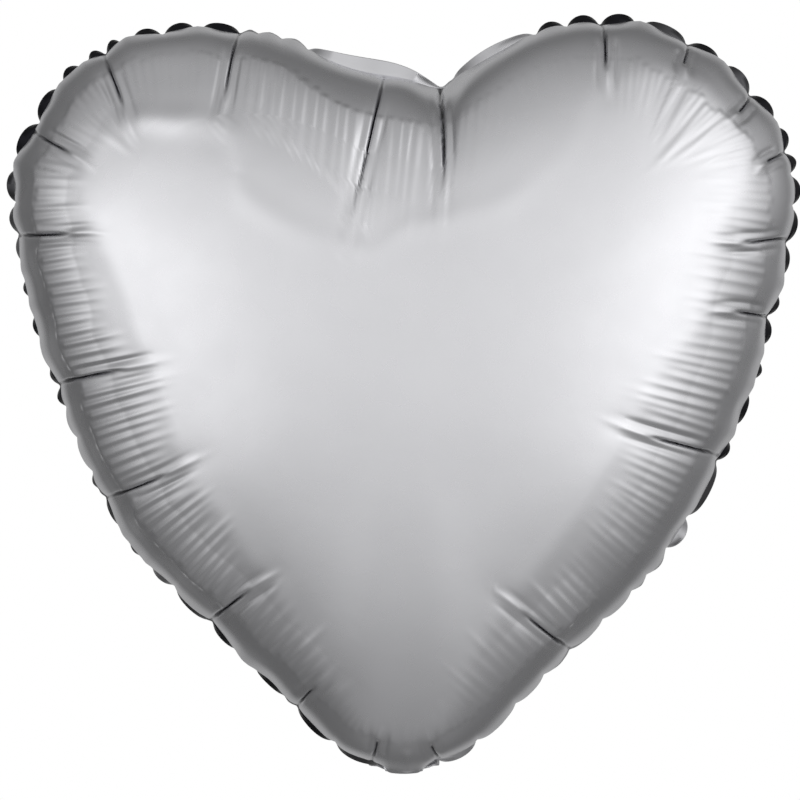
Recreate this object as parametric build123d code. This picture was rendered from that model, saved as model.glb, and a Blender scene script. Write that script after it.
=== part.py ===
"""Heart-shaped foil balloon, inflated, in millimetres.

Origin: the middle of the neck's fold line at the heart's point. +Z runs up to the cleft, -Y faces
the front and X runs across. Film is drawn thicker than it is, so that it is a sound solid.
"""
from build123d import *
import os
from math import cos, hypot, radians, sin

# Driving dimensions
HEART_DEPTH = 165.0        # front to back when full
SEAL_WIDTH = 5.0           # heat-sealed flange round the outline
PANEL_FILM = 0.5           # drawn thickness of the metallised panel film
SEAL_GAP = 0.8             # between the two panels at the seal
CHANNEL = 0.2              # between the two clear films of the valve
VALVE_FILM = (SEAL_GAP - CHANNEL) / 2
FOLD_GAP = 1.5             # from a fold line to the film's end on either side of it

# Neck, tail and valve
NECK_WIDTH = 32.0
TAIL_LENGTH = 58.0
TAIL_CURL = 60.0           # radius that the folded tail curls to behind the heart
TAIL_START = 8.0           # degrees that the folded tail starts above level
TAIL_CORNER = 5.0
FILL_HOLE_RADIUS = 4.0
FILL_HOLE_AT = 30.0        # from the fold line, along the tail
WELD_WIDTH = 2.0           # side welds of the tail and the valve
VALVE_WIDTH = 26.0
VALVE_MOUTH_LENGTH = 22.0
VALVE_LENGTH = 105.0       # inside the heart, from the valve's fold
VALVE_LEAN = 38.0          # degrees that the valve leans back onto the rear film

# Heart outline over the flange: the right side from the neck up, which the left side mirrors,
# then the two lobes' tops, which aren't alike because the cleft has gathered to one side
SIDE = [
    (22, 5), (50, 28), (90, 67), (127, 107), (149, 149),
    (164, 190), (175, 232), (180, 266), (168, 300), (143, 326),
]
RIGHT_TOP = [(105, 343), (68, 341), (39, 332)]
CLEFT = (16, 314)
LEFT_TOP = [(-17, 325), (-60, 336), (-98, 340)]
NECK_POINT = (0, 2.5)

# The levels of the dome, each a share of the outline's reach from the heart's middle
MIDDLE = (0.0, 195.0)
ROUND_REACH = 158.0        # the reach that the levels round off to near the crown
LEVELS = [1.0, 0.99, 0.96, 0.91, 0.84, 0.74, 0.62, 0.48, 0.33, 0.2, 0.08]
RING_POINTS = 72           # points that each ring of the heart is drawn through
WIRE_EDGES = 8             # splines that each ring is joined from
FULLNESS = 2.2             # exponent of the dome's profile, where 2 is an ellipse

HALF_GAP = SEAL_GAP / 2
FLANGE_FACE = HALF_GAP + PANEL_FILM
NECK_HALF = NECK_WIDTH / 2
VALVE_HALF = VALVE_WIDTH / 2
VALVE_FOLD_Z = NECK_POINT[1] + SEAL_WIDTH + FOLD_GAP


def closed_curve(points, y=0.0):
    """A smooth closed wire of equal splines through points (x, z), all at depth y."""
    count = len(points)
    place = [Vector(x, y, z) for x, z in points]
    tangent = [place[(i + 1) % count] - place[i - 1] for i in range(count)]
    step = count // WIRE_EDGES
    edges = []
    for start in range(0, count, step):
        run = [place[(start + i) % count] for i in range(step + 1)]
        ends = [tangent[start], tangent[(start + step) % count]]
        edges.append(Edge.make_spline(run, tangents=ends))
    return Wire(edges)


def heart_ring():
    """Points (x, z) evenly spaced round the flange's outer edge, each with its inward normal."""
    left_side = [(-x, z) for x, z in reversed(SIDE)]
    corners = [NECK_POINT, *SIDE, *RIGHT_TOP, CLEFT, *LEFT_TOP, *left_side]
    edge = Edge.make_spline([Vector(x, 0, z) for x, z in corners], periodic=True)
    ring = []
    for i in range(RING_POINTS):
        place = edge.position_at(i / RING_POINTS)
        along = edge.tangent_at(i / RING_POINTS)
        ring.append((place.X, place.Z, -along.Z, along.X))
    return ring


def inset(ring, distance):
    """The ring's points moved inwards by a distance."""
    return [(x + distance * nx, z + distance * nz) for x, z, nx, nz in ring]


def level(foot, share):
    """The dome's outline at a share of its reach: heart-shaped low down, rounder near the crown."""
    rounding = 1 - share
    points = []
    for x, z in foot:
        dx, dz = x - MIDDLE[0], z - MIDDLE[1]
        reach = hypot(dx, dz)
        scale = share * ((1 - rounding) * reach + rounding * ROUND_REACH) / reach
        points.append((MIDDLE[0] + dx * scale, MIDDLE[1] + dz * scale))
    return points


def dome(foot, start, crown, side):
    """A solid dome on a foot ring, from depth start to depth crown, towards side (-1 front, +1 back)."""
    wires = []
    for share in LEVELS:
        depth = start + (crown - start) * (1 - share**FULLNESS) ** (1 / FULLNESS)
        wires.append(closed_curve(level(foot, share), side * depth))
    return Solid.make_loft(wires)


def plate(points, low, high):
    """A flat plate of the closed outline, between depths low and high."""
    return Solid.extrude(Face(closed_curve(points, low)), Vector(0, high - low, 0))


def block(x0, x1, y0, y1, z0, z1):
    """A box between two corners."""
    return Pos((x0 + x1) / 2, (y0 + y1) / 2, (z0 + z1) / 2) * Box(x1 - x0, y1 - y0, z1 - z0)


def panel(ring, side):
    """One film of the heart: its dome, its half of the flange and its edge of the neck."""
    near, far = sorted((side * HALF_GAP, side * FLANGE_FACE))
    foot = inset(ring, SEAL_WIDTH)
    inner_foot = inset(ring, SEAL_WIDTH + PANEL_FILM)
    flange = plate(inset(ring, 0), near, far)
    neck = block(-NECK_HALF, NECK_HALF, near, far, FOLD_GAP, NECK_POINT[1] + SEAL_WIDTH / 2)
    outside = dome(foot, FLANGE_FACE, HEART_DEPTH / 2, side)
    inside = dome(inner_foot, FLANGE_FACE, HEART_DEPTH / 2 - PANEL_FILM, side)
    mouth = plate(inner_foot, near, far)
    return flange + neck + outside - inside - mouth


def edge_seal(ring):
    """The fused inner layers between the panels' flanges, open where the valve passes the neck."""
    whole = plate(inset(ring, 0), -HALF_GAP, HALF_GAP)
    hollow = plate(inset(ring, SEAL_WIDTH), -HALF_GAP, HALF_GAP)
    passage = block(-NECK_HALF, NECK_HALF, -HALF_GAP, HALF_GAP, -SEAL_WIDTH, VALVE_FOLD_Z)
    return whole - hollow - passage


def neck_parts():
    """The flat stretch of the valve that is sealed into the neck, and the welds beside it."""
    top = VALVE_FOLD_Z - FOLD_GAP
    parts = {}
    for name, side in (("front", -1), ("back", 1)):
        near, far = sorted((side * CHANNEL / 2, side * (CHANNEL / 2 + VALVE_FILM)))
        parts[f"valve_neck_{name}_film"] = block(-VALVE_HALF, VALVE_HALF, near, far, FOLD_GAP, top)
    welds = []
    for side in (-1, 1):
        x0, x1 = sorted((side * VALVE_HALF, side * NECK_HALF))
        welds.append(block(x0, x1, -HALF_GAP, HALF_GAP, FOLD_GAP, top))
    parts["neck_side_welds"] = Compound(welds)
    return parts


def valve_parts():
    """The free length of the valve inside the heart, leaning back from its fold line."""
    stand = Pos(0, 0, VALVE_FOLD_Z) * Rot(-VALVE_LEAN, 0, 0)
    parts = {}
    for name, side in (("front", -1), ("back", 1)):
        near, far = sorted((side * CHANNEL / 2, side * (CHANNEL / 2 + VALVE_FILM)))
        film = block(-VALVE_HALF, VALVE_HALF, near, far, FOLD_GAP, VALVE_LENGTH)
        parts[f"valve_{name}_film"] = stand * film
    welds = []
    for side in (-1, 1):
        x0, x1 = sorted((side * VALVE_HALF, side * (VALVE_HALF - WELD_WIDTH)))
        welds.append(stand * block(x0, x1, -CHANNEL / 2, CHANNEL / 2, FOLD_GAP, VALVE_LENGTH))
    parts["valve_side_welds"] = Compound(welds)
    return parts


def tail_frame():
    """(depth, height) of the middle of the tail's curl, behind and above its fold line."""
    start = radians(TAIL_START)
    return (FOLD_GAP * cos(start) - TAIL_CURL * sin(start),
            FOLD_GAP * sin(start) + TAIL_CURL * cos(start))


def on_tail(along, radius=TAIL_CURL):
    """(depth, height) on the curled tail, at a length along it and a radius of its curl."""
    turn = radians(TAIL_START) + (along - FOLD_GAP) / TAIL_CURL
    depth, height = tail_frame()
    return depth + radius * sin(turn), height - radius * cos(turn)


def curled(x0, x1, inner, outer, begin, end):
    """A curved strip of the tail between two radii and two lengths along it."""
    middle = (begin + end) / 2
    a, b, c = (on_tail(t, inner) for t in (begin, middle, end))
    d, e, f = (on_tail(t, outer) for t in (end, middle, begin))
    to_point = [Vector(x0, y, z) for y, z in (a, b, c, d, e, f)]
    wire = Wire([
        Edge.make_three_point_arc(*to_point[:3]),
        Edge.make_line(to_point[2], to_point[3]),
        Edge.make_three_point_arc(*to_point[3:]),
        Edge.make_line(to_point[5], to_point[0]),
    ])
    return Solid.extrude(Face(wire), Vector(x1 - x0, 0, 0))


def tail_film(inner, outer):
    """One film of the tail, with its two free corners rounded."""
    strip = curled(-NECK_HALF, NECK_HALF, inner, outer, FOLD_GAP, TAIL_LENGTH)
    tip = Vector(0, *on_tail(TAIL_LENGTH))
    corners = [
        edge for edge in strip.edges()
        if edge.length < 2 * (outer - inner)
        and (edge.center() - tip).length < NECK_HALF + 1
    ]
    return strip.fillet(TAIL_CORNER, corners)


def tail_parts():
    """The tail, folded up behind the heart: two films, their side welds and the valve's mouth."""
    front_face, back_face = TAIL_CURL + HALF_GAP, TAIL_CURL - HALF_GAP
    hole_y, hole_z = on_tail(FILL_HOLE_AT)
    turn = TAIL_START + (FILL_HOLE_AT - FOLD_GAP) / TAIL_CURL / radians(1)
    drill = Pos(0, hole_y, hole_z) * Rot(180 + turn, 0, 0)
    punch = drill * Pos(0, 0, HALF_GAP + PANEL_FILM / 2) * Cylinder(FILL_HOLE_RADIUS, 2 * PANEL_FILM)
    parts = {
        "tail_front_film": tail_film(front_face, front_face + PANEL_FILM) - punch,
        "tail_back_film": tail_film(back_face - PANEL_FILM, back_face),
    }
    welds = []
    for side in (-1, 1):
        x0, x1 = sorted((side * NECK_HALF, side * (NECK_HALF - WELD_WIDTH)))
        welds.append(curled(x0, x1, back_face, front_face, FOLD_GAP, TAIL_LENGTH - TAIL_CORNER))
    parts["tail_side_welds"] = Compound(welds)
    for name, inner in (("front", TAIL_CURL + CHANNEL / 2), ("back", back_face)):
        outer = inner + VALVE_FILM
        mouth = curled(-VALVE_HALF, VALVE_HALF, inner, outer, FOLD_GAP, VALVE_MOUTH_LENGTH)
        parts[f"valve_mouth_{name}_film"] = mouth
    return parts


def main():
    ring = heart_ring()
    parts = {
        "front_panel": panel(ring, -1),
        "back_panel": panel(ring, 1),
        "edge_seal": edge_seal(ring),
        **neck_parts(),
        **valve_parts(),
        **tail_parts(),
    }
    os.makedirs("parts", exist_ok=True)
    for name, shape in parts.items():
        export_step(shape, f"parts/{name}.step")
    hole_y, hole_z = on_tail(FILL_HOLE_AT, TAIL_CURL + HALF_GAP + PANEL_FILM / 2)
    print("fill hole centre", round(hole_y, 3), round(hole_z, 3), "valve fold z", VALVE_FOLD_Z)


main()
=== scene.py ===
"""Heart-shaped foil balloon: puckered foil panels, seam flange, tail and valve round the CAD frame.

Lengths are in millimetres until a mesh is made, and in the CAD's frame: -Y is the front, +Z is up.
"""

import bpy
import numpy as np
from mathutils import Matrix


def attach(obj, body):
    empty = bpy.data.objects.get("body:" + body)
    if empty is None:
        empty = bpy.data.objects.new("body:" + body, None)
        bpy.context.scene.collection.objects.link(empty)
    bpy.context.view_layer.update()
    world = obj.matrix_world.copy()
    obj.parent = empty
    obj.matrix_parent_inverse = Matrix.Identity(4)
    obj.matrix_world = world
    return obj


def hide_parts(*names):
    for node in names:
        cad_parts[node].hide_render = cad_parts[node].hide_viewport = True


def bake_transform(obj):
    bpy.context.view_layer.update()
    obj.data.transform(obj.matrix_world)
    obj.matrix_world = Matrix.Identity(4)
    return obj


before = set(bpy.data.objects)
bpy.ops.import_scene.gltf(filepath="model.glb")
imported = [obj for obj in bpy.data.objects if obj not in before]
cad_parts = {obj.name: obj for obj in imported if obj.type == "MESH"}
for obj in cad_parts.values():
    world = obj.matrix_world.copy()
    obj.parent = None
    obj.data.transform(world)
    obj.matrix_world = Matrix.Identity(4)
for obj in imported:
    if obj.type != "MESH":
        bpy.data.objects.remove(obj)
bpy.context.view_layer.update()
MM = 0.001

# ---------------------------------------------------------------- the balloon's dimensions
HALF_DEPTH = 81.5
FULLNESS = 2.2
MIDDLE = np.array([0.0, 195.0])
ROUND_REACH = 158.0
FLANGE = 5.6
FILM = 0.25
FLANGE_LAYER = 0.12        # from the flange's middle to each panel's half of it
SIDE = [
    (22, 5), (50, 28), (90, 67), (127, 107), (149, 149),
    (164, 190), (175, 232), (180, 266), (168, 300), (143, 326),
]
RIGHT_TOP = [(105, 343), (68, 341), (39, 329.5), (24, 319)]
CLEFT = (17, 314.5)
LEFT_TOP = [(8, 318.2), (-17, 325), (-60, 336), (-98, 340)]
NECK_POINT = (0, 2.5)
NECK_HALF = 16.0
NECK_PINCH = 8.0
NECK_BOW = 0.012           # how the heart's point and the tail's fold curve up to either side, per mm
TAB_X = 1.5                # where the valve's tab shows as a low ridge through the front film
TAIL_LENGTH = 58.0
TAIL_CURL = 60.0
TAIL_START = np.radians(8)
TAIL_CORNER = 5.0
FOLD_GAP = 1.5
FILL_HOLE_AT = 30.0
FILL_HOLE_RADIUS = 4.0
VALVE_HALF = 13.0
VALVE_FOLD_Z = 9.0
VALVE_LENGTH = 105.0
VALVE_MOUTH = 22.0
VALVE_LEAN = np.radians(38)
VALVE_FILM = 0.2
VALVE_WELD = 0.3
WELD_WIDTH = 2.0
TAIL_WELD = 0.32
SEALED_MARGIN = 3.0
TAIL_STEP = 0.8            # between the points of the tail's meshes

COLUMNS = 1536
FINE_DEPTHS = np.concatenate([np.arange(0, 12, 0.75), np.arange(12, 84, 1.0)])
COARSE_ROWS = [(2, 7), (4, 7), (8, 6), (16, 6), (48, 4)]   # share of the columns, rows
FLANGE_STEPS = (1.0, 0.75, 0.5, 0.25)
FRONT_SEED = 11
BACK_SEED = 5
WRINKLE_SPACING = 5.0

# Long creases of the front: (x, z) at the seam, (x, z) at the inner end, depth, side it laps to
FRONT_CREASES = [
    ((16, 314), (18, 252), 3.4, 1), ((-9, 315), (-25, 236), 3.0, -1), ((-75, 333), (-83, 292), 3.0, 1),
    ((-135, 323), (-120, 290), 2.4, 1), ((-166, 289), (-143, 274), 2.4, -1),
    ((-174, 243), (-138, 242), 3.0, 1), ((-157, 176), (-113, 186), 3.0, -1),
    ((-133, 125), (-95, 140), 2.8, 1), ((-88, 69), (-61, 89), 3.2, 1),
    ((-48, 31), (-36, 45), 1.6, -1), ((-14, 7), (-10, 20), 1.8, 1), ((16, 6), (10, 18), 1.6, -1),
    ((74, 57), (44, 80), 3.0, -1), ((141, 144), (97, 157), 3.2, 1), ((167, 206), (139, 208), 2.6, 1),
    ((176, 242), (141, 239), 2.6, -1), ((173, 281), (159, 272), 2.6, 1), ((158, 307), (147, 294), 2.8, -1),
    ((129, 329), (126, 315), 2.6, 1), ((90, 337), (91, 309), 3.0, -1),
]

# Gathers of the flange, anticlockwise from the point: (x, z), how far the flange shows past the dome from
# there to the next gather, and how much painted shade darkens the flange there, from 0 silver to 1 black
GATHERS = [
    (-9, 2, 0.0, 0.3), (15, 3, 3.0, 0.0), (31, 17, 0.5, 0.4), (50, 32, 0.4, 0.4), (64, 44, 0.6, 0.4),
    (74, 57, 0.5, 0.4), (91, 69, 0.4, 0.4), (103, 82, 0.6, 0.4), (110, 90, 0.8, 0.3), (120, 100, 4.2, 0.1),
    (133, 113, 3.0, 0.85), (139.5, 142, 2.4, 1.0), (147, 151, 0.0, 1.0), (151, 157, 3.0, 1.0),
    (158.5, 171.5, 0.0, 1.0), (160, 178, 2.2, 1.0), (164, 186, 0.0, 1.0), (165, 193, 3.0, 1.0),
    (166, 207, 2.2, 1.0), (171, 217, 0.0, 1.0), (173.5, 225, 2.4, 1.0), (173, 240, 2.5, 1.0),
    (178, 257, 3.0, 1.0), (176.6, 272, 2.7, 1.0), (172, 281.5, 3.0, 1.0), (170, 293, 0.0, 1.0),
    (168.5, 297, 3.5, 1.0), (157.5, 308, 4.0, 0.9), (147.5, 322, 0.0, 1.0), (144, 324.5, 2.8, 1.0),
    (128.5, 330.5, 4.0, 0.9), (108.5, 339, 0.0, 1.0), (105, 338, 4.4, 1.0), (89, 336, 3.4, 1.0),
    (74.5, 335.5, 2.6, 1.0), (61, 332, 4.4, 0.0), (20.5, 315.5, 0.0, 0.3), (17, 314, 7.6, 0.0),
    (-44, 329, 0.6, 0.3), (-56, 331.5, 0.5, 0.4), (-67, 332, 0.6, 0.6), (-75, 332, 3.7, 1.0),
    (-92, 336.5, 0.0, 1.0), (-95, 336.5, 3.5, 1.0), (-109.5, 334, 3.0, 1.0), (-122.5, 332, 0.0, 1.0),
    (-127.5, 329.5, 3.0, 1.0), (-134.5, 324.5, 3.0, 1.0), (-142.5, 321.5, 0.0, 1.0), (-146, 319, 3.3, 1.0),
    (-154.5, 313, 0.0, 1.0), (-156.5, 310, 4.2, 1.0), (-165.5, 294.5, 4.4, 1.0), (-175.5, 279, 0.0, 1.0),
    (-176, 274, 4.0, 0.9), (-177.5, 258.5, 2.0, 0.8), (-173.5, 245, 1.4, 0.8), (-174, 231.5, 0.0, 0.8),
    (-173.5, 223.5, 2.0, 0.9), (-171, 215, 0.0, 0.9), (-170, 207.5, 2.3, 1.0), (-166, 197, 0.0, 1.0),
    (-160.5, 184, 1.5, 1.0), (-155.5, 176, 1.9, 1.0), (-154, 165, 0.4, 0.6), (-150, 151, 0.4, 0.6),
    (-142, 136, 1.3, 1.0), (-137, 129, 0.0, 1.0), (-135, 125, 1.5, 1.0), (-129, 111, 0.0, 1.0),
    (-125, 105, 1.3, 1.0), (-119.5, 97, 0.0, 0.7), (-115, 93, 2.2, 0.5), (-105, 83.5, 1.7, 1.0),
    (-88, 68, 2.3, 1.0), (-78.5, 53, 0.0, 1.0), (-70, 45.5, 2.4, 1.0), (-55, 33.5, 0.0, 1.0),
    (-48.5, 30.5, 2.7, 1.0), (-30.5, 15, 2.3, 0.9),
]

# At places (x, z) round the outline: how strong the fine wrinkles are, how far in they reach and begin,
# and how flat the facets between the creases are
WRINKLE_STRENGTH = [
    ((0, 5), 0.3), ((40, 20), 0.35), ((62, 45), 0.5), ((76, 58), 1.0), ((90, 69), 0.9), ((99, 79), 0.15),
    ((108, 88), 0.3), ((114, 95), 0.9), ((119, 101), 0.3), ((126, 110), 0.7), ((140, 144), 0.7),
    ((160, 180), 0.65), ((170, 225), 0.7), ((176, 262), 0.35), ((165, 300), 0.5), ((140, 325), 0.6),
    ((120, 333), 0.25), ((60, 338), 0.1), ((24, 320), 0.4), ((0, 316), 0.8), ((-20, 324), 0.65),
    ((-60, 335), 0.85), ((-80, 337), 0.4), ((-98, 340), 0.15), ((-128, 328), 0.3), ((-145, 318), 0.8),
    ((-165, 290), 0.6), ((-176, 240), 1.1), ((-165, 195), 1.2), ((-145, 145), 1.3), ((-110, 95), 1.2),
    ((-85, 65), 0.9), ((-55, 40), 0.6), ((-30, 20), 0.4),
]
WRINKLE_REACH = [
    ((0, 5), 22), ((73, 57), 46), ((110, 90), 42), ((140, 144), 46), ((176, 262), 44), ((140, 325), 52),
    ((60, 338), 34), ((16, 314), 72), ((-30, 325), 80), ((-66, 335), 62), ((-80, 335), 48),
    ((-128, 328), 40), ((-176, 240), 40), ((-145, 145), 46), ((-88, 68), 42),
]
SHOULDER = [               # how far in the wrinkles begin, at a low ridge
    ((0, 5), 11), ((60, 42), 11), ((176, 240), 10.5), ((170, 290), 15), ((140, 325), 21),
    ((105, 340), 18), ((60, 338), 15), ((24, 320), 19), ((0, 316), 20), ((-30, 325), 17),
    ((-60, 335), 14), ((-98, 340), 11), ((-176, 240), 10.5),
]
FLATNESS = [
    ((0, 5), 0.1), ((73, 57), 0.3), ((140, 144), 0.3), ((176, 262), 0.2), ((128, 330), 0.3),
    ((60, 338), 0.1), ((22, 320), 0.2), ((10, 314), 0.7), ((-40, 328), 0.5), ((-75, 334), 0.8),
    ((-98, 340), 1.6), ((-128, 328), 1.3), ((-150, 315), 0.2), ((-176, 240), 0.3), ((-145, 145), 0.4),
    ((-88, 70), 0.3),
]


# ---------------------------------------------------------------- outline and dome
def smoothstep(x, low, high):
    t = np.clip((x - low) / (high - low), 0, 1)
    return t * t * (3 - 2 * t)


def bell(x, width):
    return np.exp(-((x / width) ** 2))


def closed_spline(points, count):
    """Points evenly spaced along a smooth closed curve through the given ones, and its length."""
    p = np.array(points, float)
    n = len(p)
    gap = np.linalg.norm(np.roll(p, -1, 0) - p, axis=1)
    system = np.zeros((n, n))
    right = np.zeros((n, 2))
    for i in range(n):
        before, after = gap[i - 1], gap[i]
        system[i, i - 1] += after
        system[i, i] += 2 * (before + after)
        system[i, (i + 1) % n] += before
        forward = (p[(i + 1) % n] - p[i]) / after
        backward = (p[i] - p[i - 1]) / before
        right[i] = 3 * (after * backward + before * forward)
    slope = np.linalg.solve(system, right)
    u = np.linspace(0, 1, 200, endpoint=False)[:, None]
    runs = []
    for i in range(n):
        j = (i + 1) % n
        a, b = slope[i] * gap[i], slope[j] * gap[i]
        runs.append((2 * u**3 - 3 * u**2 + 1) * p[i] + (u**3 - 2 * u**2 + u) * a
                    + (3 * u**2 - 2 * u**3) * p[j] + (u**3 - u**2) * b)
    fine = np.concatenate(runs)
    closed = np.vstack([fine, fine[:1]])
    along = np.concatenate([[0], np.cumsum(np.linalg.norm(np.diff(closed, axis=0), axis=1))])
    at = np.linspace(0, along[-1], count, endpoint=False)
    even = np.stack([np.interp(at, along, closed[:, k]) for k in (0, 1)], axis=1)
    return even, along[-1]


def inward_normals(ring):
    along = np.roll(ring, -1, 0) - np.roll(ring, 1, 0)
    along /= np.linalg.norm(along, axis=1)[:, None]
    return np.stack([-along[:, 1], along[:, 0]], axis=1)


left_side = [(-x, z) for x, z in reversed(SIDE)]
corners = [NECK_POINT, *SIDE, *RIGHT_TOP, CLEFT, *LEFT_TOP, *left_side]
outline, outline_length = closed_spline(corners, COLUMNS)
outline_in = inward_normals(outline)
arc = np.arange(COLUMNS) * outline_length / COLUMNS


def wrap(distance):
    """Signed distance along the closed outline, the short way round."""
    return (distance + outline_length / 2) % outline_length - outline_length / 2


def arc_at(point):
    """How far along the outline its nearest place to the point (x, z) is."""
    return arc[int(np.argmin(np.sum((outline - np.array(point, float)) ** 2, axis=1)))]


def blur_round(values, width):
    """Values smoothed along the columns, the way round the outline, by a bell of this width."""
    waves = np.fft.rfftfreq(COLUMNS, outline_length / COLUMNS)
    kept = np.exp(-2 * (np.pi * waves * width) ** 2)
    return np.fft.irfft(np.fft.rfft(values, axis=-1) * kept, COLUMNS, axis=-1)


def by_place(table):
    """For each column, the value of a table of ((x, z), value), read between its places."""
    rows = sorted((arc_at(point), value) for point, value in table)
    at, value = np.array(rows).T
    return blur_round(np.interp(arc, at, value, period=outline_length), 4.0)


def between(places):
    """For each column, how far it is from one place to the next (0 to 1), the gap's length and number."""
    closed = np.concatenate([places, places[:1] + outline_length])
    at = np.where(arc < places[0], arc + outline_length, arc)
    index = np.clip(np.searchsorted(closed, at, side="right") - 1, 0, len(places) - 1)
    length = closed[index + 1] - closed[index]
    return (at - closed[index]) / length, length, index


# ---------------------------------------------------------------- the gathered seam, shared by both panels
rng = np.random.default_rng(FRONT_SEED)
gathers = np.array(sorted((arc_at((x, z)), show, painted_dark) for x, z, show, painted_dark in GATHERS))
gather_at, gather_show, gather_painted_shade = gathers.T
crease_at = np.array([arc_at(edge) for edge, _, _, _ in FRONT_CREASES])
phase, _, scallop = between(gather_at)


def smooth_noise(rng, spacing):
    """A smooth random value from -1 to 1 for each column, closed round the outline."""
    knots = max(4, int(outline_length / spacing))
    values = rng.uniform(-1, 1, knots)
    at = arc / outline_length * knots
    low = np.floor(at).astype(int) % knots
    t = at - np.floor(at)
    t = t * t * (3 - 2 * t)
    return values[low] * (1 - t) + values[(low + 1) % knots] * t


in_neck = (1 - smoothstep(np.abs(outline[:, 0]), 6, 12)) * (outline[:, 1] < 60)
plain_beside = (gather_show == 0) | (np.roll(gather_show, 1) == 0)
at_crease = np.abs(wrap(gather_at[:, None] - crease_at[None])).min(axis=1) < 5
pinch = np.where(plain_beside & ~at_crease, 0.5, 1.0)
gather_gap = np.abs(wrap(arc[:, None] - gather_at[None]))
valley = (pinch * np.exp(-np.sqrt(gather_gap**2 + 0.3) / 2.4)).max(axis=1)
puff_phase, puff_length, _ = between(gather_at[pinch == 1.0])
arch = np.sin(np.pi * puff_phase)

shown = np.where(gather_show > 0, gather_show + 0.5, 0.0)[scallop]
inset = 0.5 + 1.15 * blur_round(shown * np.sin(np.pi * phase) ** 0.5, 5.0)
seam = outline + inset[:, None] * outline_in
smooth_seam = outline + blur_round(inset, 24.0)[:, None] * outline_in
pull = 1.5 * valley - 0.8 * arch * np.clip(puff_length / 20, 0.3, 1)
seam_shift = outline_in * (pull * (1 - in_neck))[:, None]
seam_shift[:, 1] += in_neck * (NECK_BOW * seam[:, 0] ** 2 - 0.75 - seam[:, 1])
seam_sway = (smooth_noise(rng, 17) + 0.6 * valley) * (1 - in_neck)
showing = blur_round(shown * np.sin(np.pi * phase) ** 0.7, 0.5) * (1 - in_neck)
flange_width = np.maximum(FLANGE, 1.08 * showing) * (1 - 0.9 * in_neck)
tilt = np.arccos(np.clip(np.maximum(showing, 0.9 * (1 - in_neck)) / flange_width, 0, 1))
# Painted shade on the flange: how far its silver colour is darkened toward black at each column.
painted_shade = np.clip(blur_round(gather_painted_shade[scallop], 0.8), 0, 1) * (1 - in_neck)


def dome(side):
    """Base surface grid (rows, columns, 3) of one panel, and the depths of its rows from the seam."""
    angle = np.linspace(0, np.pi / 2, 500)
    share = np.clip(np.cos(angle), 0, 1) ** (2 / FULLNESS)
    depth = HALF_DEPTH * np.clip(np.sin(angle), 0, 1) ** (2 / FULLNESS)
    spoke = smooth_seam - MIDDLE
    reach = np.linalg.norm(spoke, axis=1)
    scale = share[:, None] * (share[:, None] * reach + (1 - share[:, None]) * ROUND_REACH) / reach
    x = MIDDLE[0] + spoke[:, 0] * scale
    z = MIDDLE[1] + spoke[:, 1] * scale
    y = np.broadcast_to(side * depth[:, None], x.shape)
    line = np.stack([x, y, z], axis=2)
    steps = np.linalg.norm(np.diff(line, axis=0), axis=2)
    run = np.concatenate([np.zeros((1, COLUMNS)), np.cumsum(steps, axis=0)])
    targets = [np.full(COLUMNS, d) for d in FINE_DEPTHS]
    last = FINE_DEPTHS[-1]
    coarse = sum(count for _, count in COARSE_ROWS)
    for i in range(1, coarse + 1):
        targets.append(last + (run[-1] - last) * i / (coarse + 1))
    depths = np.array(targets)
    grid = np.empty((len(depths), COLUMNS, 3))
    for c in range(COLUMNS):
        for k in range(3):
            grid[:, c, k] = np.interp(depths[:, c], run[:, c], line[:, c, k])
    return grid, depths


def grid_normals(grid, side):
    along = np.roll(grid, -1, 1) - np.roll(grid, 1, 1)
    inward = np.empty_like(grid)
    inward[1:-1] = grid[2:] - grid[:-2]
    inward[0] = grid[1] - grid[0]
    inward[-1] = grid[-1] - grid[-2]
    n = np.cross(along, inward)
    n /= np.maximum(np.linalg.norm(n, axis=2), 1e-9)[:, :, None]
    return n * side * np.sign(np.sum(n[:, :, 1]))


# ---------------------------------------------------------------- creases, wrinkles and facets
def crease_shape(flat, creases):
    """What the long creases do at grid points (x, z): push in, slide sideways, and how much painted shade
    darkens their slits.
    """
    drop = np.zeros(flat.shape[:2])
    slide = np.zeros(flat.shape)
    crease_painted_shade = np.zeros(flat.shape[:2])
    for edge, inner, depth, lap in creases:
        start = np.array(edge, float)
        line = np.array(inner, float) - start
        length = np.linalg.norm(line)
        line /= length
        across = np.array([line[1], -line[0]]) * lap
        rel = flat - start
        q = (rel @ line) / length
        bow = 1.3 * np.sin(2.6 * q + 5 * depth) * np.clip(q, 0, 1)
        r = rel @ across - bow
        near = (np.abs(r) < 30) & (q < 1.7) & (q > -0.5)
        q = np.clip(q, 0, 2)
        longer = np.interp(length, (45, 65), (0, 0.12))
        lens = smoothstep(q, 0, 0.25) * (1 - smoothstep(q, 0.3 + longer, 0.8 + longer))
        foot = 1 - smoothstep(q, 0.05, 0.3)
        beside = 0.3 * depth * smoothstep(q, 0.12, 0.35) * (1 - smoothstep(q, 0.6, 1.15))
        tent = 0.25 * depth * smoothstep(q, 0.35, 0.7) * (1 - smoothstep(q, 0.8, 1.3))
        slit = 1.5 * depth * lens * bell(r, 1.0) + 0.8 * foot * bell(r, 0.8)
        grooves = beside * (bell(r - 4.4, 1.2) + 0.6 * bell(r + 3.8, 1.2))
        broad = 0.3 * depth * (1 - smoothstep(q, 0.4, 1.5)) * bell(r, 6.5)
        drop += np.where(near, slit + grooves + broad - tent * bell(r, 1.5), 0)
        push = 0.9 * lens * (bell(r + 1.0, 1.5) - bell(r - 1.5, 1.2))
        slide += np.where(near, push, 0)[:, :, None] * across
        # Painted shade: how much the slit and its foot darken the foil's colour toward black, standing in for
        # the fold's shadow.
        crease_painted_shade = np.maximum(crease_painted_shade, np.where(near, lens * bell(r, 0.8) + 0.6 * foot * bell(r, 0.6), 0))
    return drop, slide, crease_painted_shade


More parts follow.
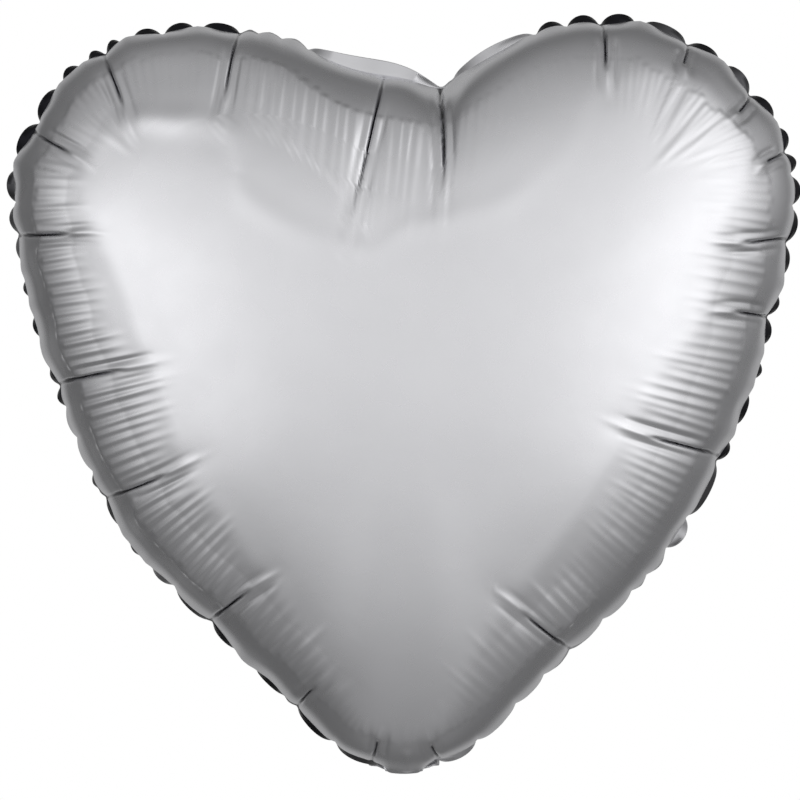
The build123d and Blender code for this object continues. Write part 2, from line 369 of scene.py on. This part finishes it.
def wrinkle_lift(flat, rng, strength, first, reach):
    """Fine radial wrinkles, each with its own place, start, end, height and lean. In the cleft, which pulls
    them all one way, they run side by side."""
    in_cleft = smoothstep(outline[:, 1], 295, 310) * (1 - smoothstep(np.abs(outline[:, 0] + 20), 55, 85))
    inner = np.sign(outline_in) * np.abs(outline_in) ** 1.4
    inner += in_cleft[:, None] * (np.array([-0.1, -1.0]) - inner)
    lift = np.zeros(flat.shape[:2])
    column_gap = outline_length / COLUMNS
    span = int(40 / column_gap)
    lean = smooth_noise(rng, 60) * 0.06
    longer = 1 + 0.22 * smooth_noise(rng, 30)
    heavier = 1 + 0.35 * smooth_noise(rng, 26)
    for i in range(int(outline_length / WRINKLE_SPACING)):
        at = (i + rng.uniform(-0.12, 0.12)) * WRINKLE_SPACING
        column = int(at / column_gap) % COLUMNS
        tip = lean[column] + rng.normal(0, 0.012)
        inward = inner[column]
        line = np.array([inward[0] - tip * inward[1], inward[1] + tip * inward[0]])
        line /= np.linalg.norm(line)
        across = np.array([line[1], -line[0]])
        begin = first[column] - rng.uniform(0, 2)
        end = rng.uniform(0.88, 1.15) * longer[column] * reach[column]
        height = rng.uniform(0.5, 0.7) * strength[column] * heavier[column]
        width = rng.uniform(1.4, 1.7)
        picks = np.arange(column - span, column + span) % COLUMNS
        rel = flat[:, picks] - seam[column]
        q = rel @ line
        r = rel @ across - 0.012 * q * q * lean[column]
        window = smoothstep(q, begin, begin + 2.8) * (1 - smoothstep(q, end * 0.5, end))
        lift[:, picks] += height * window * bell(r, width)
    return lift


def edge_distance(flat):
    """Distance of each grid point from the seam, as seen from the front, and its nearest column."""
    step = 4
    sample = seam[::step]
    near = np.empty(flat.shape[:2])
    column = np.empty(flat.shape[:2], int)
    for row in range(len(flat)):
        gap = np.linalg.norm(flat[row][:, None, :] - sample[None], axis=2)
        column[row] = np.argmin(gap, axis=1) * step
        near[row] = gap.min(axis=1)
    return near, column


def facet_reach(creases):
    """For each column, how far in the flat facets between the creases reach."""
    rows = sorted((arc_at(edge), np.linalg.norm(np.subtract(inner, edge))) for edge, inner, _, _ in creases)
    at, length = np.array(rows).T
    through, _, _ = between(at)
    return np.interp(arc, at, length, period=outline_length) * (1 + 0.1 * np.sin(np.pi * through))


def panel_surface(side, creases, rng):
    """Grid of one puckered panel from its seam to its crown, and how much painted shade darkens each point's
    hollow.
    """
    flatness = by_place(FLATNESS)
    strength = by_place(WRINKLE_STRENGTH)
    begins = by_place(SHOULDER)
    grid, depths = dome(side)
    flat = grid[:, :, [0, 2]]
    normal = grid_normals(grid, side)
    distance, column = edge_distance(flat)
    drop, slide, crease_painted_shade = crease_shape(flat, creases)
    lift = wrinkle_lift(flat, rng, strength, begins, by_place(WRINKLE_REACH)) - drop
    reach = blur_round(facet_reach(creases)[column], 9.0)
    ridge = bell(distance - reach, 6.0)
    hollow = 0.7 * bell((distance - 0.5 * reach) / reach, 0.25)
    lift += blur_round((ridge - hollow) * flatness[column], 4.0)
    puff = np.sin(np.pi * puff_phase) ** 0.6 * np.clip(puff_length / 18, 0.4, 1.2) * (1 - in_neck)
    if side > 0:
        puff = puff * smoothstep(showing, 0.8, 3.0) - 0.4 * (1 - smoothstep(showing, 0.8, 3.0))
    lift += 1.1 * puff * np.exp(-((depths / 9.0) ** 1.6)) * smoothstep(depths, 0, 3)
    shoulder = np.clip(strength - 0.25, 0, 0.8) * (1 + 0.2 * smooth_noise(rng, 14))
    crest = (begins + 0.5 * smooth_noise(rng, 12))[column]
    rise = np.clip((distance / crest - 0.45) / 0.55, 0, 1)
    fall = np.clip((2.5 - distance / crest) / 1.5, 0, 1)
    lift += 1.5 * shoulder[column] * rise ** 1.5 * fall
    hem = np.exp(-depths / 7.0)
    settle = np.exp(-((depths / 16.0) ** 1.5))
    if side < 0:
        lift += 0.5 * bell(flat[:, :, 0] - TAB_X, 2.4) * (1 - smoothstep(flat[:, :, 1], 9, 13))
    lift *= smoothstep(depths, 0, 4)
    slide *= smoothstep(depths, 0, 6)[:, :, None]
    grid = grid + normal * lift[:, :, None]
    waves = seam - smooth_seam
    grid[:, :, 0] += hem * seam_shift[:, 0] + settle * waves[:, 0] + slide[:, :, 0]
    grid[:, :, 2] += hem * seam_shift[:, 1] + settle * waves[:, 1] + slide[:, :, 1]
    grid[:, :, 1] += hem * seam_sway
    return grid, crease_painted_shade


def flange_row(step, offset):
    """One ring of the flange: step 1 is its outer edge and 0 the seam."""
    foot = np.empty((COLUMNS, 3))
    foot[:, 0] = seam[:, 0] + seam_shift[:, 0]
    foot[:, 2] = seam[:, 1] + seam_shift[:, 1]
    foot[:, 1] = seam_sway
    c, s = np.cos(tilt), np.sin(tilt)
    out = np.stack([-outline_in[:, 0] * c, s, -outline_in[:, 1] * c], axis=1)
    face = np.stack([outline_in[:, 0] * s, c, outline_in[:, 1] * s], axis=1)
    return foot + out * flange_width[:, None] * step + face * offset


# ---------------------------------------------------------------- meshes
def new_object(name, points, faces):
    """An object of this mesh, its points given in millimetres."""
    mesh = bpy.data.meshes.new(name)
    mesh.from_pydata((np.asarray(points) * MM).tolist(), [], faces)
    mesh.shade_smooth()
    obj = bpy.data.objects.new(name, mesh)
    bpy.context.scene.collection.objects.link(obj)
    return obj


def mark_points(obj, name, values):
    attribute = obj.data.attributes.new(name, "FLOAT", "POINT")
    attribute.data.foreach_set("value", np.asarray(values, np.float32))


def mark_sharp(obj, is_sharp):
    """Marks the edges whose two ends both satisfy is_sharp, a yes or no for each point."""
    ends = np.empty(len(obj.data.edges) * 2, int)
    obj.data.edges.foreach_get("vertices", ends)
    attribute = obj.data.attributes.new("sharp_edge", "BOOLEAN", "EDGE")
    attribute.data.foreach_set("value", is_sharp[ends.reshape(-1, 2)].all(axis=1))


def ring_mesh(name, rings, flip=False):
    """A mesh from closed rings of points, outermost first. Each ring is as long as the last or a whole
    fraction of it, and the last closes on its middle."""
    sizes = [len(r) for r in rings]
    starts = np.concatenate([[0], np.cumsum(sizes)])
    faces = []
    for j in range(len(rings) - 1):
        n, m = sizes[j], sizes[j + 1]
        a, b = starts[j], starts[j + 1]
        ratio = n // m
        for k in range(m):
            low, high = b + k, b + (k + 1) % m
            if ratio == 1:
                faces.append((a + k, a + (k + 1) % n, high, low))
                continue
            half = ratio // 2
            for t in range(ratio):
                one, two = a + (k * ratio + t) % n, a + (k * ratio + t + 1) % n
                faces.append((one, two, low if t < half else high))
            faces.append((a + (k * ratio + half) % n, high, low))
    last, hub, n = starts[-2], starts[-1], sizes[-1]
    for k in range(n):
        faces.append((last + k, last + (k + 1) % n, hub))
    if flip:
        faces = [f[::-1] for f in faces]
    return new_object(name, np.vstack(rings + [rings[-1].mean(0)[None]]), faces)


def rings_of(grid):
    """The grid's fine rows whole, and its inner rows with fewer and fewer columns."""
    row = len(FINE_DEPTHS)
    rings = [grid[j] for j in range(row)]
    for share, count in COARSE_ROWS:
        for _ in range(count):
            rings.append(grid[row][::share])
            row += 1
    return rings


def panel_film(name, side, creases, rng):
    """One panel: its half of the flange and its puckered dome."""
    grid, crease_painted_shade = panel_surface(side, creases, rng)
    flange = [flange_row(step, side * FLANGE_LAYER) for step in FLANGE_STEPS]
    film = ring_mesh(name, flange + rings_of(grid), flip=side > 0)
    edge = np.zeros((len(FLANGE_STEPS), COLUMNS))
    # Painted shade of the crease slits, none on the flange rows, stored as a point attribute of the film.
    shade = np.concatenate([edge.ravel(), *rings_of(crease_painted_shade), [0.0]])
    mark_points(film, "crease_painted_shade", shade)
    seam_points = np.zeros(len(film.data.vertices), bool)
    seam_points[len(FLANGE_STEPS) * COLUMNS:(len(FLANGE_STEPS) + 1) * COLUMNS] = True
    mark_sharp(film, seam_points)
    # Painted shade on the flange and seam rows: the hem foil darkens toward black by these values.
    hem_painted_shade = np.zeros(len(film.data.vertices))
    hem_painted_shade[:(len(FLANGE_STEPS) + 1) * COLUMNS] = np.tile(painted_shade, len(FLANGE_STEPS) + 1)
    mark_points(film, "painted_shade", hem_painted_shade)
    return film


def seal_strip():
    """The fused strip between the flange's two layers: a thin closed ring of four-sided section."""
    section = [(1.03, -0.1), (1.03, 0.1), (0.02, 0.1), (0.02, -0.1)]
    points = np.concatenate([flange_row(step, offset) for step, offset in section])
    faces = []
    for j in range(4):
        a, b = j * COLUMNS, (j + 1) % 4 * COLUMNS
        for k in range(COLUMNS):
            m = (k + 1) % COLUMNS
            faces.append((a + k, b + k, b + m, a + m))
    strip = new_object("edge_seal_strip", points, faces)
    # The seal strip takes the same painted shade as the flange beside it.
    mark_points(strip, "painted_shade", np.tile(painted_shade, 4))
    return strip


def thin_solid(name, x, t, place, thickness, hole=None):
    """A closed thin sheet over grids x (across) and t (along) in millimetres. place(x, t) is its middle
    surface, and hole is an optional (x, t, radius) punched through it."""
    rows, columns = x.shape
    index = np.arange(rows * columns).reshape(rows, columns)
    around = [index[:-1, :-1], index[:-1, 1:], index[1:, 1:], index[1:, :-1]]
    cells = np.stack(around, axis=-1).reshape(-1, 4)
    if hole:
        centre, radius = np.array(hole[:2]), hole[2]
        flat = np.stack([x.ravel(), t.ravel()], axis=1)
        cut = np.linalg.norm(flat[cells].mean(axis=1) - centre, axis=1) < radius
        rim = np.intersect1d(cells[cut], cells[~cut])
        away = flat[rim] - centre
        flat[rim] = centre + away * radius / np.linalg.norm(away, axis=1)[:, None]
        x, t = flat[:, 0].reshape(rows, columns), flat[:, 1].reshape(rows, columns)
        cells = cells[~cut]
    middle = place(x, t)
    n = np.cross(np.gradient(middle, axis=1), np.gradient(middle, axis=0))
    n /= np.linalg.norm(n, axis=2)[:, :, None]
    top = (middle + n * thickness / 2).reshape(-1, 3)
    under = (middle - n * thickness / 2).reshape(-1, 3)
    used, cells = np.unique(cells, return_inverse=True)
    cells = cells.reshape(-1, 4)
    count = len(used)
    faces = [tuple(c) for c in cells] + [tuple(c[::-1] + count) for c in cells]
    directed = {(a, b) for c in cells.tolist() for a, b in zip(c, c[1:] + c[:1])}
    for a, b in sorted(directed):
        if (b, a) not in directed:
            faces.append((b, a, a + count, b + count))
    return new_object(name, np.vstack([top[used], under[used]]), faces)


# ---------------------------------------------------------------- the two panels and their seal
def matching_creases(creases, rng):
    """Creases of the other panel: from the same gathers, but each with its own run, depth and lap."""
    others = []
    for edge, inner, depth, lap in creases:
        run = np.subtract(inner, edge) * rng.uniform(0.7, 1.15)
        turn = rng.normal(0, 0.14)
        c, s = np.cos(turn), np.sin(turn)
        end = (edge[0] + c * run[0] - s * run[1], edge[1] + s * run[0] + c * run[1])
        others.append((edge, end, depth * rng.uniform(0.8, 1.1), -lap))
    return others


back_rng = np.random.default_rng(BACK_SEED)
front_film = panel_film("front_panel_film", -1, FRONT_CREASES, rng)
back_film = panel_film("back_panel_film", 1, matching_creases(FRONT_CREASES, back_rng), back_rng)
seal = seal_strip()
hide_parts("front_panel")
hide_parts("back_panel")
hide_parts("edge_seal")
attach(seal, "envelope")
for film in (front_film, back_film):
    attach(film, "envelope")


# ---------------------------------------------------------------- the tail
CURL_MIDDLE = (FOLD_GAP * np.cos(TAIL_START) - TAIL_CURL * np.sin(TAIL_START),
               FOLD_GAP * np.sin(TAIL_START) + TAIL_CURL * np.cos(TAIL_START))


def tail_half_width(t):
    """Half the tail's width at a length along it: pinched at its fold and rounded at its free end."""
    opened = NECK_PINCH + (NECK_HALF - NECK_PINCH) * smoothstep(np.abs(t - FOLD_GAP), 0, 11)
    past = np.clip(t - (TAIL_LENGTH - TAIL_CORNER), 0, TAIL_CORNER)
    return opened - TAIL_CORNER + np.sqrt(np.maximum(TAIL_CORNER**2 - past**2, 0))


def tail_lengths(begin, end):
    return np.linspace(begin, end, int((end - begin) / TAIL_STEP) + 1)


def tail_grid(half, begin, end):
    """Grids x, t over the tail, from begin to end along it, out to a share half of its width."""
    t = tail_lengths(begin, end)
    u = np.linspace(-half, half, int(2 * NECK_HALF * half / TAIL_STEP) + 1)
    return u[None] * tail_half_width(t)[:, None], np.repeat(t[:, None], len(u), axis=1)


def tail_place(x, t, offset, turn_in):
    """Points of the tail's layer that lies offset outside its middle. Before the fold, where t is under
    FOLD_GAP, the layer turns up to meet the heart's point; turn_in is the depth that it turns up at."""
    turn = TAIL_START + (t - FOLD_GAP) / TAIL_CURL
    radius = TAIL_CURL + offset
    y = CURL_MIDDLE[0] + radius * np.sin(turn)
    z = CURL_MIDDLE[1] - radius * np.cos(turn)
    before = np.clip(FOLD_GAP - t, 0, None)
    corner = smoothstep(before, 0, 2.4)
    y = y * (1 - corner) + turn_in * corner
    z = z * (1 - smoothstep(before, 0.4, 2.8)) + (before - 1.6) * smoothstep(before, 0.4, 2.8)
    z = z + NECK_BOW * x**2 * (1 - smoothstep(t, 2, 14))
    return np.stack([x, y, z], axis=-1)


def gather_ripple(x, t):
    """Pleats that run out from the pinched fold, and a slow wave along the tail."""
    pleats = 0.2 * np.sin(2 * np.pi * x / 5.2 + 0.6) * np.exp(-np.abs(t - 7) / 6) * smoothstep(t, 1, 6)
    return pleats + 0.35 * np.sin(t / 8.5 + x / 21) * smoothstep(t, 8, 30)


def film_gap(x, t):
    """Half the gap between the tail's films: closed and crimped along the sealed sides."""
    inner_edge = tail_half_width(t) - SEALED_MARGIN
    margin = smoothstep(np.abs(x), inner_edge - 1.5, inner_edge)
    crimp = 0.07 * np.sin(2 * np.pi * t / 1.6) * margin
    return 0.68 + 0.5 * smoothstep(t, 12, 40) * (1 - margin) - 0.36 * margin + crimp


def tail_film(name, side, turn_in):
    """One film of the tail, from the heart's point round the fold to its free end."""
    x, t = tail_grid(1.0, -1.5, TAIL_LENGTH)
    hole = (0.0, FILL_HOLE_AT, FILL_HOLE_RADIUS) if side > 0 else None

    def place(x, t):
        return tail_place(x, t, side * film_gap(x, t) + gather_ripple(x, t), turn_in)

    return thin_solid(name, x, t, place, FILM, hole)


def tail_seals():
    """The two fused margins between the tail's films."""
    strips = []
    along = tail_lengths(-1.0, TAIL_LENGTH - TAIL_CORNER)
    share = np.linspace(1 - SEALED_MARGIN / NECK_HALF, 1.012, 5)

    def place(x, t):
        return tail_place(x, t, gather_ripple(x, t), 0.0)

    for side in (-1, 1):
        x = side * share[None] * tail_half_width(along)[:, None]
        t = np.repeat(along[:, None], len(share), axis=1)
        strips.append(thin_solid(f"tail_seal_{side + 2}", x, t, place, TAIL_WELD))
    return join(strips, "tail_side_seals")


def join(objects, name):
    """One object from several."""
    points, faces = [], []
    for obj in objects:
        first = len(points)
        points += [v.co / MM for v in obj.data.vertices]
        faces += [tuple(first + v for v in p.vertices) for p in obj.data.polygons]
        bpy.data.objects.remove(obj)
    return new_object(name, points, faces)


tail_front = tail_film("tail_front_sheet", 1, -0.35)
tail_back = tail_film("tail_back_sheet", -1, 0.45)
tail_sides = tail_seals()
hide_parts("tail_front_film")
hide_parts("tail_back_film")
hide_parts("tail_side_welds", "neck_side_welds")
for piece, slot in ((tail_front, "tail_foil"), (tail_back, "tail_foil"), (tail_sides, "seal")):
    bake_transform(piece)


# ---------------------------------------------------------------- the valve
def valve_mouth(name, side):
    """One film of the valve's mouth, in the tail and round the fold into the heart's point."""
    x, t = tail_grid(VALVE_HALF / NECK_HALF, -1.5, VALVE_MOUTH)

    def place(x, t):
        return tail_place(x, t, side * 0.24 + gather_ripple(x, t), side * -0.2)

    return thin_solid(name, x, t, place, VALVE_FILM)


def valve_place(x, t, side):
    """Points of one film inside the heart, leaning back from its fold, a little bowed and waved."""
    open_middle = 0.25 * np.clip(1 - (x / (VALVE_HALF - WELD_WIDTH)) ** 2, 0, 1)
    free = smoothstep(t, 6, 30)
    wave = 0.8 * np.sin(t / 17) * free + 0.25 * np.sin(x / 3.1 + t / 9) * free
    away = wave + side * (0.16 + open_middle)
    y = t * np.sin(VALVE_LEAN) + away * np.cos(VALVE_LEAN)
    z = VALVE_FOLD_Z + t * np.cos(VALVE_LEAN) - away * np.sin(VALVE_LEAN)
    return np.stack([x, y, z], axis=-1)


def valve_film(name, side):
    """One film of the valve's free length inside the heart."""
    t = np.linspace(-0.5, VALVE_LENGTH, 100)
    x = np.linspace(-VALVE_HALF, VALVE_HALF, 27)
    x, t = np.meshgrid(x, t)
    return thin_solid(name, x, t, lambda x, t: valve_place(x, t, side), VALVE_FILM)


def valve_seals():
    """The weld lines down both sides of the valve."""
    strips = []
    for side in (-1, 1):
        x = side * np.linspace(VALVE_HALF - WELD_WIDTH, VALVE_HALF + 0.15, 4)
        x, t = np.meshgrid(x, np.linspace(FOLD_GAP, VALVE_LENGTH, 100))
        name = f"valve_seal_{side + 2}"
        strips.append(thin_solid(name, x, t, lambda x, t: valve_place(x, t, 0), VALVE_WELD))
    return join(strips, "valve_side_seals")


valve_pieces = []
for layer, side in (("front", 1), ("back", -1)):
    mouth = valve_mouth(f"valve_mouth_{layer}_sheet", side)
    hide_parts(f"valve_mouth_{layer}_film", f"valve_neck_{layer}_film")
    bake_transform(mouth)
    inner = valve_film(f"valve_{layer}_sheet", -side)
    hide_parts(f"valve_{layer}_film")
    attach(inner, "valve")
    valve_pieces += [mouth, inner]
valve_sides = valve_seals()
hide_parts("valve_side_welds")
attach(valve_sides, "valve")
valve_pieces.append(valve_sides)


# ---------------------------------------------------------------- materials
SILVER = (0.80, 0.80, 0.825)
PAINTED_SHADE_BLACK = (0.02, 0.02, 0.024)


class Paint:
    """A material's node tree, built a node at a time."""

    def __init__(self, name):
        self.material = bpy.data.materials.new(name)
        self.material.use_nodes = True
        self.tree = self.material.node_tree
        self.shader = self.tree.nodes["Principled BSDF"]
        self.place = self.node("ShaderNodeTexCoord").outputs["Object"]

    def node(self, kind, **settings):
        made = self.tree.nodes.new(kind)
        for key, value in settings.items():
            setattr(made, key, value)
        return made

    def link(self, source, target):
        self.tree.links.new(source, target)

    def noise(self, size, detail=3.0):
        """Noise whose features are about size metres across."""
        made = self.node("ShaderNodeTexNoise")
        made.inputs["Scale"].default_value = 1 / size
        made.inputs["Detail"].default_value = detail
        self.link(self.place, made.inputs["Vector"])
        return made.outputs["Fac"]

    def ranged(self, source, low, high):
        made = self.node("ShaderNodeMapRange")
        made.inputs["From Min"].default_value = 0.3
        made.inputs["From Max"].default_value = 0.7
        made.inputs["To Min"].default_value = low
        made.inputs["To Max"].default_value = high
        self.link(source, made.inputs["Value"])
        return made.outputs["Result"]

    def mixed(self, factor, first, second):
        made = self.node("ShaderNodeMix", data_type="RGBA")
        self.link(factor, made.inputs["Factor"])
        for socket, value in (("A", first), ("B", second)):
            if isinstance(value, tuple):
                made.inputs[socket].default_value = (*value, 1)
            else:
                self.link(value, made.inputs[socket])
        return made.outputs["Result"]

    def attribute(self, name):
        return self.node("ShaderNodeAttribute", attribute_name=name).outputs["Fac"]

    def bumps(self, *layers):
        """Bump from layers of (noise size, height), both in metres."""
        normal = None
        for size, height in layers:
            bump = self.node("ShaderNodeBump")
            bump.inputs["Distance"].default_value = height
            self.link(self.noise(size, 2.0), bump.inputs["Height"])
            if normal:
                self.link(normal, bump.inputs["Normal"])
            normal = bump.outputs["Normal"]
        self.link(normal, self.shader.inputs["Normal"])

    def set(self, **values):
        for name, value in values.items():
            self.shader.inputs[name.replace("_", " ")].default_value = value


def foil(name, roughness, painted_shade=None):
    """Satin silver film: metal with faint mottling, a fine grain and soft dents. If an attribute is named, its
    values paint shade by mixing the colour toward black.
    """
    paint = Paint(name)
    silver = paint.mixed(paint.ranged(paint.noise(0.035), 0, 1), SILVER, tuple(0.97 * c for c in SILVER))
    # Painted shade: the attribute darkens the silver toward black.
    color = paint.mixed(paint.attribute(painted_shade), silver, PAINTED_SHADE_BLACK) if painted_shade else silver
    paint.link(color, paint.shader.inputs["Base Color"])
    rough = paint.ranged(paint.noise(0.02), roughness - 0.025, roughness + 0.025)
    paint.link(rough, paint.shader.inputs["Roughness"])
    paint.set(Metallic=1.0)
    paint.bumps((0.012, 0.00004), (0.0012, 0.000006))
    return paint.material


def clear_film(name):
    """Clear valve film, slightly cloudy."""
    paint = Paint(name)
    tint = paint.mixed(paint.ranged(paint.noise(0.01), 0, 1), (0.86, 0.88, 0.90), (0.78, 0.80, 0.83))
    paint.link(tint, paint.shader.inputs["Base Color"])
    paint.link(paint.ranged(paint.noise(0.006), 0.14, 0.24), paint.shader.inputs["Roughness"])
    paint.set(IOR=1.5, Transmission_Weight=0.75)
    paint.bumps((0.005, 0.00006))
    return paint.material


# The front foil carries the crease slits' painted shade; the hem foil, for the front flange and the seal strip,
# carries the flange's painted shade.
front_foil = foil("silver_foil_painted_crease_shade", 0.27, "crease_painted_shade")
hem = foil("painted_shade_hem", 0.36, "painted_shade")
plain_foil = foil("silver_back_foil", 0.27)
valve_clear = clear_film("clear_valve_film")
for film, flange_paint in ((front_film, hem), (back_film, plain_foil)):
    film.data.materials.append(front_foil)
    film.data.materials.append(flange_paint)
    index = np.zeros(len(film.data.polygons), np.int32)
    index[:len(FLANGE_STEPS) * COLUMNS] = 1
    film.data.polygons.foreach_set("material_index", index)
seal.data.materials.append(hem)
for piece in (tail_front, tail_back, tail_sides):
    piece.data.materials.append(plain_foil)
for piece in valve_pieces:
    piece.data.materials.append(valve_clear)

# ---------------------------------------------------------------- floor, light and camera
FLOOR_LEVEL = -0.45
FLOOR_HALF = 4
floor_corners = [(x * FLOOR_HALF, y * FLOOR_HALF, FLOOR_LEVEL) for x, y in ((-1, -1), (1, -1), (1, 1), (-1, 1))]
floor_mesh = bpy.data.meshes.new("floor")
floor_mesh.from_pydata(floor_corners, [], [(0, 1, 2, 3)])
floor = bpy.data.objects.new("floor", floor_mesh)
bpy.context.scene.collection.objects.link(floor)
floor.visible_glossy = False
floor_paint = Paint("pale_floor")
mottle = floor_paint.ranged(floor_paint.noise(0.6), 0, 1)
shade = floor_paint.mixed(mottle, (0.80, 0.80, 0.80), (0.77, 0.77, 0.77))
floor_paint.link(shade, floor_paint.shader.inputs["Base Color"])
floor_paint.set(Roughness=0.9)
floor_mesh.materials.append(floor_paint.material)

# Soft patches of light: degrees away from the front, degrees round from the right, sharpness, strength
SKY = 0.11
LIGHTS = [
    (17, 25, 2, 0.70),
    (55, -4, 10, 0.72),
    (75, 32, 10, 0.66),
    (50, 177, 7, 0.88),
    (85, 110, 6, 0.18),
    (85, 272, 6, 0.13),
    (115, 8, 9, 0.13),
]
# The wall behind: how bright it is, and where it fades in, in degrees away from the front
BACKDROP = (0.32, 134, 156)
world = bpy.data.worlds.new("studio")
bpy.context.scene.world = world
world.use_nodes = True
sky = world.node_tree
sky.nodes.clear()


def sky_node(kind, **settings):
    made = sky.nodes.new(kind)
    for key, value in settings.items():
        setattr(made, key, value)
    return made


def sky_math(operation, first, second=None, third=None):
    """A math node's output. Each input is a number or a socket."""
    made = sky_node("ShaderNodeMath", operation=operation)
    for socket, value in zip(made.inputs, (first, second, third)):
        if isinstance(value, (int, float)):
            socket.default_value = value
        elif value is not None:
            sky.links.new(value, socket)
    return made.outputs[0]


def light_patch(away, round_view, sharpness, strength):
    """The brightness of one patch of light in each direction."""
    a, b = np.radians(away), np.radians(round_view)
    toward = sky_node("ShaderNodeVectorMath", operation="DOT_PRODUCT")
    toward.inputs[1].default_value = (np.sin(a) * np.cos(b), -np.cos(a), np.sin(a) * np.sin(b))
    sky.links.new(direction, toward.inputs[0])
    falloff = sky_math("MULTIPLY_ADD", toward.outputs["Value"], sharpness, -sharpness)
    return sky_math("MULTIPLY", sky_math("EXPONENT", falloff), strength)


direction = sky_node("ShaderNodeTexCoord").outputs["Generated"]
brightness = SKY
for patch in LIGHTS:
    brightness = sky_math("ADD", light_patch(*patch), brightness)
wall_strength, wall_from, wall_to = BACKDROP
from_front = sky_node("ShaderNodeSeparateXYZ")
sky.links.new(direction, from_front.inputs[0])
wall = sky_node("ShaderNodeMapRange", interpolation_type="SMOOTHSTEP")
sky.links.new(from_front.outputs["Y"], wall.inputs["Value"])
wall.inputs["From Min"].default_value = -np.cos(np.radians(wall_from))
wall.inputs["From Max"].default_value = -np.cos(np.radians(wall_to))
wall.inputs["To Max"].default_value = wall_strength
brightness = sky_math("ADD", wall.outputs["Result"], brightness)
glow = sky_node("ShaderNodeBackground")
sky.links.new(brightness, glow.inputs["Color"])
backdrop = sky_node("ShaderNodeBackground")
backdrop.inputs["Color"].default_value = (1, 1, 1, 1)
seen = sky_node("ShaderNodeMixShader")
sky.links.new(sky_node("ShaderNodeLightPath").outputs["Is Camera Ray"], seen.inputs["Fac"])
sky.links.new(glow.outputs[0], seen.inputs[1])
sky.links.new(backdrop.outputs[0], seen.inputs[2])
sky.links.new(seen.outputs[0], sky_node("ShaderNodeOutputWorld").inputs["Surface"])

CAMERA_DISTANCE = 2.5
VIEW_WIDTH = 0.3632
SENSOR = 36
camera_data = bpy.data.cameras.new("camera")
camera_data.sensor_width = SENSOR
camera_data.lens = SENSOR * CAMERA_DISTANCE / VIEW_WIDTH
camera_data.clip_end = 50
camera = bpy.data.objects.new("camera", camera_data)
camera.location = (-0.0018, -CAMERA_DISTANCE, 0.1689)
camera.rotation_euler = (np.pi / 2, 0, 0)
bpy.context.scene.collection.objects.link(camera)
bpy.context.scene.camera = camera
bpy.context.scene.view_settings.view_transform = "Standard"
